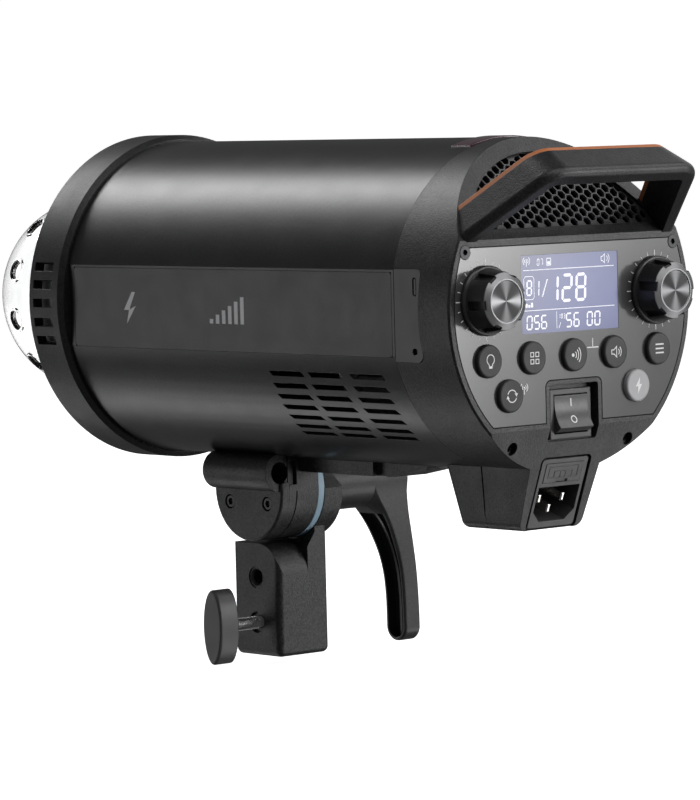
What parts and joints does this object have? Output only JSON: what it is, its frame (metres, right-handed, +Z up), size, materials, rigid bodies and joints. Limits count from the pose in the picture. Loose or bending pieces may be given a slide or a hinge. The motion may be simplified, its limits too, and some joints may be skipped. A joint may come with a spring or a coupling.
{
  "type": "monolight studio strobe",
  "caption": "Round-bodied mains studio flash head with glass dome, rear control panel, carrying handle and tilting stand bracket with umbrella bore.",
  "frame": {"origin": "centre of the mouth of the stand socket, at the bottom of the bracket", "axes": "+Z up along the stand spigot, lamp shines towards -Y at rest, control panel faces +Y, +X is the side with the port panel and the clamp knob"},
  "size_m": [0.1565, 0.405, 0.2415],
  "materials": {
    "barrel_paint": "satin black fine-grain paint on cast aluminium",
    "ring_paint": "matt black powder coat on cast aluminium",
    "label_film": "matt film",
    "sensor_plastic": "dark red translucent",
    "plate_steel": "zinc plated",
    "bayonet_metal": "turned",
    "abs_black": "textured black",
    "base_ceramic": "white ceramic",
    "tube_glass": "clear quartz",
    "dome_glass": "clear",
    "sink_aluminium": "extruded",
    "led_phosphor": "phosphor under silicone",
    "can_sleeve": "shrink sleeve",
    "board_green": "solder mask",
    "transformer_iron": "varnished",
    "fan_plastic": "moulded black",
    "grille_metal": "grey paint",
    "trim_orange": "satin",
    "panel_acrylic": "gloss back-printed",
    "lcd_glass": "backlit",
    "switch_plastic": "fine satin",
    "button_rubber": "charcoal",
    "test_button": "frosted grey",
    "knob_black": "satin gloss",
    "knob_metal": "spun, dark",
    "screw_black": "black oxide",
    "pin_metal": "nickel plated",
    "fuse_glass": "clear",
    "bracket_cast": "coarse black powder coat on an aluminium die casting",
    "pad_metal": "plain",
    "friction_blue": "fibre",
    "pad_brass": "plain"
  },
  "bodies": {
    "stand": {"stand_bracket": "bracket_cast"},
    "lamp": {"body_shell": "barrel_paint", "label_plates": "label_film", "sensor_window": "sensor_plastic", "front_ring": "ring_paint", "mount_plate": "plate_steel", "bayonet_ring": "bayonet_metal", "lamp_base": "base_ceramic", "flash_tube": "tube_glass", "dome_glass": "dome_glass", "heat_sink": "sink_aluminium", "modelling_led": "led_phosphor", "bulkhead": "plate_steel", "capacitors": "can_sleeve", "power_board": "board_green", "transformer": "transformer_iron", "fan_frame": "fan_plastic", "rear_cap": "abs_black", "power_housing": "abs_black", "hood_grille": "grille_metal", "handle": "abs_black", "handle_trim": "trim_orange", "control_panel": "panel_acrylic", "lcd_display": "lcd_glass", "control_board": "board_green", "tact_switches": "switch_plastic", "encoders": "switch_plastic", "switch_frame": "switch_plastic", "case_screws": "screw_black", "port_panel": "abs_black", "inlet_socket": "switch_plastic", "inlet_pins": "pin_metal", "base_rail": "bracket_cast", "tilt_yoke": "bracket_cast", "yoke_cap": "bracket_cast", "umbrella_pad": "pad_metal", "bracket_screws": "screw_black", "friction_ring": "friction_blue"},
    "release": {"mount_release": "abs_black"},
    "fan": {"fan_rotor": "fan_plastic"},
    "button_lamp": {"button_lamp": "button_rubber"},
    "button_group": {"button_group": "button_rubber"},
    "button_slave": {"button_slave": "button_rubber"},
    "button_sound": {"button_sound": "button_rubber"},
    "button_menu": {"button_menu": "button_rubber"},
    "button_mode": {"button_mode": "button_rubber"},
    "button_test": {"button_test": "test_button"},
    "dial_left": {"dial_knob_left": "knob_black", "dial_cap_left": "knob_metal"},
    "dial_right": {"dial_knob_right": "knob_black", "dial_cap_right": "knob_metal"},
    "rocker": {"power_rocker": "switch_plastic"},
    "drawer": {"fuse_drawer": "switch_plastic", "fuse": "fuse_glass"},
    "lever": {"tilt_lever": "switch_plastic", "tilt_bolt": "pad_metal"},
    "pad": {"clamp_pad": "pad_brass"},
    "knob": {"clamp_knob": "switch_plastic", "clamp_screw": "pad_metal"}
  },
  "joints": [
    {"name": "lamp_tilt", "type": "hinge", "parent": "stand", "child": "lamp", "pos_m": [0, 0, 0.0767], "axis": [-1, 0, 0], "range_deg": [-70, 36]},
    {"name": "tilt_lever_turn", "type": "hinge", "parent": "stand", "child": "lever", "pos_m": [0, 0, 0.0767], "axis": [1, 0, 0], "range_deg": [-60, 60]},
    {"name": "clamp_knob_turn", "type": "hinge", "parent": "pad", "child": "knob", "pos_m": [0.03, 0, 0.0154], "axis": [-1, 0, 0], "range_deg": [0, 1440]},
    {"name": "clamp_pad_slide", "type": "slide", "parent": "stand", "child": "pad", "axis": [-1, 0, 0], "range_m": [0, 0.00401]},
    {"name": "mount_release_slide", "type": "slide", "parent": "lamp", "child": "release", "axis": [0, 1, 0], "range_m": [0, 0.004], "stiffness_N_per_m": 800, "springref_m": -0.001},
    {"name": "fan_spin", "type": "hinge", "parent": "lamp", "child": "fan", "pos_m": [0, 0.125, 0.168], "axis": [0, 1, 0], "continuous": true},
    {"name": "dial_left_turn", "type": "hinge", "parent": "lamp", "child": "dial_left", "pos_m": [0.0509, 0.195, 0.16835], "axis": [0, -1, 0], "continuous": true},
    {"name": "dial_right_turn", "type": "hinge", "parent": "lamp", "child": "dial_right", "pos_m": [-0.0509, 0.195, 0.16835], "axis": [0, -1, 0], "continuous": true},
    {"name": "power_rocker_tip", "type": "hinge", "parent": "lamp", "child": "rocker", "pos_m": [0, 0.1907, 0.11755], "axis": [-1, 0, 0], "range_deg": [0, 30]},
    {"name": "fuse_drawer_slide", "type": "slide", "parent": "lamp", "child": "drawer", "axis": [0, 0.9379, -0.347], "range_m": [0, 0.018]},
    {"name": "button_lamp_press", "type": "slide", "parent": "lamp", "child": "button_lamp", "axis": [0, -1, 0], "range_m": [0, 0.0008], "stiffness_N_per_m": 1500, "springref_m": -0.0003},
    {"name": "button_group_press", "type": "slide", "parent": "lamp", "child": "button_group", "axis": [0, -1, 0], "range_m": [0, 0.0008], "stiffness_N_per_m": 1500, "springref_m": -0.0003},
    {"name": "button_slave_press", "type": "slide", "parent": "lamp", "child": "button_slave", "axis": [0, -1, 0], "range_m": [0, 0.0008], "stiffness_N_per_m": 1500, "springref_m": -0.0003},
    {"name": "button_sound_press", "type": "slide", "parent": "lamp", "child": "button_sound", "axis": [0, -1, 0], "range_m": [0, 0.0008], "stiffness_N_per_m": 1500, "springref_m": -0.0003},
    {"name": "button_menu_press", "type": "slide", "parent": "lamp", "child": "button_menu", "axis": [0, -1, 0], "range_m": [0, 0.0008], "stiffness_N_per_m": 1500, "springref_m": -0.0003},
    {"name": "button_mode_press", "type": "slide", "parent": "lamp", "child": "button_mode", "axis": [0, -1, 0], "range_m": [0, 0.0008], "stiffness_N_per_m": 1500, "springref_m": -0.0003},
    {"name": "button_test_press", "type": "slide", "parent": "lamp", "child": "button_test", "axis": [0, -1, 0], "range_m": [0, 0.0008], "stiffness_N_per_m": 1500, "springref_m": -0.0003}
  ],
  "couplings": [
    {"joint": "clamp_pad_slide", "follows": "clamp_knob_turn", "m_per_rad": 0.00015915}
  ]
}
